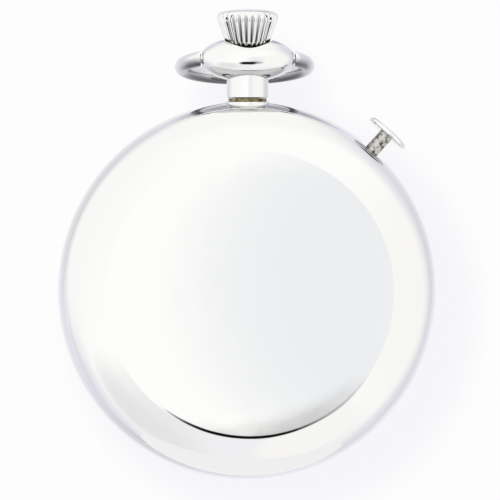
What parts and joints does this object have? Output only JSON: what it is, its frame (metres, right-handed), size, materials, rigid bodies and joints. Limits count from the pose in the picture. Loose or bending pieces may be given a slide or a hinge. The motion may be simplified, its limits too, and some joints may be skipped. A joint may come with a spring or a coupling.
{
  "type": "mechanical stopwatch",
  "caption": "Pocket stopwatch with a polished round case, press-fit back, fluted crown, side reset pusher, swinging bow and a wind-up lever movement.",
  "frame": {"origin": "centre of the case band at its mid-plane, on the axis of the seconds hand", "axes": "+Z to the crown (12 o'clock), +Y out of the dial glass, -Y out of the back, +X to the right seen from the back"},
  "size_m": [0.052, 0.023, 0.0647],
  "materials": {
    "polished_chrome": "polished chrome plating",
    "steel": "fine ground and hardened steel",
    "blued_steel": "heat-blued steel",
    "brass": "lapped brass",
    "nickel_plate": "grained nickel plating on brass",
    "ruby": "polished synthetic ruby",
    "dial_enamel": "semi-gloss white dial paint",
    "crystal": "clear polished"
  },
  "bodies": {
    "case": {"case_middle": "polished_chrome", "bezel": "polished_chrome", "crystal": "crystal", "dial_ring": "nickel_plate", "pendant_neck": "polished_chrome", "pendant_bush": "brass", "pusher_sleeve": "steel", "dial": "dial_enamel", "main_plate": "nickel_plate", "barrel_bridge": "nickel_plate", "train_bridge": "nickel_plate", "balance_cock": "nickel_plate", "pallet_bridge": "nickel_plate", "bridge_screw_1": "blued_steel", "bridge_screw_2": "blued_steel", "bridge_screw_3": "blued_steel", "bridge_screw_4": "blued_steel", "bridge_screw_5": "blued_steel", "balance_jewel": "ruby", "click_spring": "blued_steel", "start_lever_stud": "steel", "reset_hammer_stud": "steel"},
    "back_cover": {"back_cover": "polished_chrome"},
    "bow": {"bow": "polished_chrome"},
    "push_sleeve": {"push_sleeve": "steel"},
    "crown": {"crown": "polished_chrome", "winding_stem": "steel"},
    "pusher": {"pusher_button": "polished_chrome", "pusher_stem": "steel"},
    "winding_pinion": {"winding_pinion": "steel"},
    "crown_wheel": {"crown_wheel": "steel"},
    "ratchet": {"ratchet_wheel": "steel", "ratchet_screw": "blued_steel", "barrel_arbor": "steel"},
    "click": {"click": "steel"},
    "barrel": {"mainspring_barrel": "brass", "mainspring": "blued_steel"},
    "second_wheel": {"second_wheel": "brass", "second_pinion": "steel"},
    "third_wheel": {"third_wheel": "brass", "third_pinion": "steel"},
    "seconds": {"fourth_wheel": "brass", "centre_arbor": "steel", "heart_cam": "steel", "seconds_hand": "blued_steel"},
    "escape_wheel": {"escape_wheel": "steel", "escape_pinion": "steel"},
    "pallet_fork": {"pallet_fork": "steel"},
    "balance": {"balance_wheel": "brass", "balance_staff": "steel", "safety_roller": "steel", "hairspring": "blued_steel"},
    "minute_idler": {"minute_idler": "brass", "minute_idler_pinion": "steel"},
    "minutes": {"minute_wheel": "brass", "minute_arbor": "steel", "minute_hand": "blued_steel"},
    "start_lever": {"start_lever": "steel"},
    "reset_hammer": {"reset_hammer": "steel"},
    "column_wheel": {"column_wheel": "steel"}
  },
  "joints": [
    {"name": "back_off", "type": "slide", "parent": "case", "child": "back_cover", "axis": [0, -1, 0], "range_m": [0, 0.025]},
    {"name": "bow_swing", "type": "hinge", "parent": "case", "child": "bow", "pos_m": [0, 0, 0.0318], "axis": [1, 0, 0], "range_deg": [-33, 239]},
    {"name": "crown_push", "type": "slide", "parent": "case", "child": "push_sleeve", "axis": [0, 0, -1], "range_m": [0, 0.0009], "stiffness_N_per_m": 600, "springref_m": -0.004},
    {"name": "crown_turn", "type": "hinge", "parent": "push_sleeve", "child": "crown", "pos_m": [0, 0, 0.034], "axis": [0, 0, 1], "continuous": true},
    {"name": "reset_push", "type": "slide", "parent": "case", "child": "pusher", "axis": [-0.6652, 0, -0.7466], "range_m": [0, 0.0018], "stiffness_N_per_m": 500, "springref_m": -0.004},
    {"name": "winding_pinion_turn", "type": "hinge", "parent": "case", "child": "winding_pinion", "pos_m": [0, 0, 0.0189], "axis": [0, 0, 1], "continuous": true},
    {"name": "crown_wheel_turn", "type": "hinge", "parent": "case", "child": "crown_wheel", "pos_m": [0, 0, 0.01382], "axis": [0, -1, 0], "continuous": true},
    {"name": "ratchet_turn", "type": "hinge", "parent": "case", "child": "ratchet", "pos_m": [-0.0093, 0, 0.0093], "axis": [0, -1, 0], "continuous": true},
    {"name": "click_lift", "type": "hinge", "parent": "case", "child": "click", "pos_m": [-0.0172, 0, 0.0056], "axis": [0, -1, 0], "range_deg": [0, 10]},
    {"name": "seconds_turn", "type": "hinge", "parent": "case", "child": "seconds", "pos_m": [0, 0, 0], "axis": [0, -1, 0], "continuous": true},
    {"name": "third_turn", "type": "hinge", "parent": "case", "child": "third_wheel", "pos_m": [-0.00428, 0, -0.00528], "axis": [0, -1, 0], "continuous": true},
    {"name": "second_turn", "type": "hinge", "parent": "case", "child": "second_wheel", "pos_m": [-0.0101, 0, 0.0001], "axis": [0, -1, 0], "continuous": true},
    {"name": "barrel_turn", "type": "hinge", "parent": "case", "child": "barrel", "pos_m": [-0.0093, 0, 0.0093], "axis": [0, -1, 0], "continuous": true},
    {"name": "escape_turn", "type": "hinge", "parent": "case", "child": "escape_wheel", "pos_m": [0.00538, 0, -0.00251], "axis": [0, -1, 0], "continuous": true},
    {"name": "minute_idler_turn", "type": "hinge", "parent": "case", "child": "minute_idler", "pos_m": [0.00113, 0, 0.00436], "axis": [0, -1, 0], "continuous": true},
    {"name": "minutes_turn", "type": "hinge", "parent": "case", "child": "minutes", "pos_m": [0, 0, 0.0084], "axis": [0, -1, 0], "continuous": true},
    {"name": "pallet_rock", "type": "hinge", "parent": "case", "child": "pallet_fork", "pos_m": [0.00732, 0, -0.00542], "axis": [0, -1, 0], "range_deg": [-4.5, 4.5]},
    {"name": "balance_swing", "type": "hinge", "parent": "case", "child": "balance", "pos_m": [0.01036, 0, -0.01], "axis": [0, -1, 0], "range_deg": [-270, 270], "stiffness_Nm_per_rad": 0.0000035},
    {"name": "start_lever_turn", "type": "hinge", "parent": "case", "child": "start_lever", "pos_m": [0.008, 0, 0.0135], "axis": [0, -1, 0], "range_deg": [0, 6.8]},
    {"name": "reset_hammer_turn", "type": "hinge", "parent": "case", "child": "reset_hammer", "pos_m": [0.0155, 0, 0.005], "axis": [0, -1, 0], "range_deg": [0, 12.6]},
    {"name": "column_wheel_turn", "type": "hinge", "parent": "case", "child": "column_wheel", "pos_m": [0.0145, 0, 0.0005], "axis": [0, -1, 0], "continuous": true}
  ],
  "couplings": [
    {"joint": "third_turn", "follows": "seconds_turn", "ratio": -0.13333},
    {"joint": "second_turn", "follows": "seconds_turn", "ratio": 0.016667},
    {"joint": "barrel_turn", "follows": "seconds_turn", "ratio": -0.0027778},
    {"joint": "escape_turn", "follows": "seconds_turn", "ratio": -10},
    {"joint": "minute_idler_turn", "follows": "seconds_turn", "ratio": -0.2},
    {"joint": "minutes_turn", "follows": "seconds_turn", "ratio": 0.033333},
    {"joint": "winding_pinion_turn", "follows": "crown_turn", "ratio": 1},
    {"joint": "crown_wheel_turn", "follows": "crown_turn", "ratio": -0.625},
    {"joint": "ratchet_turn", "follows": "crown_turn", "ratio": 0.46296},
    {"joint": "start_lever_turn", "follows": "crown_push", "rad_per_m": 130},
    {"joint": "reset_hammer_turn", "follows": "reset_push", "rad_per_m": 115}
  ]
}
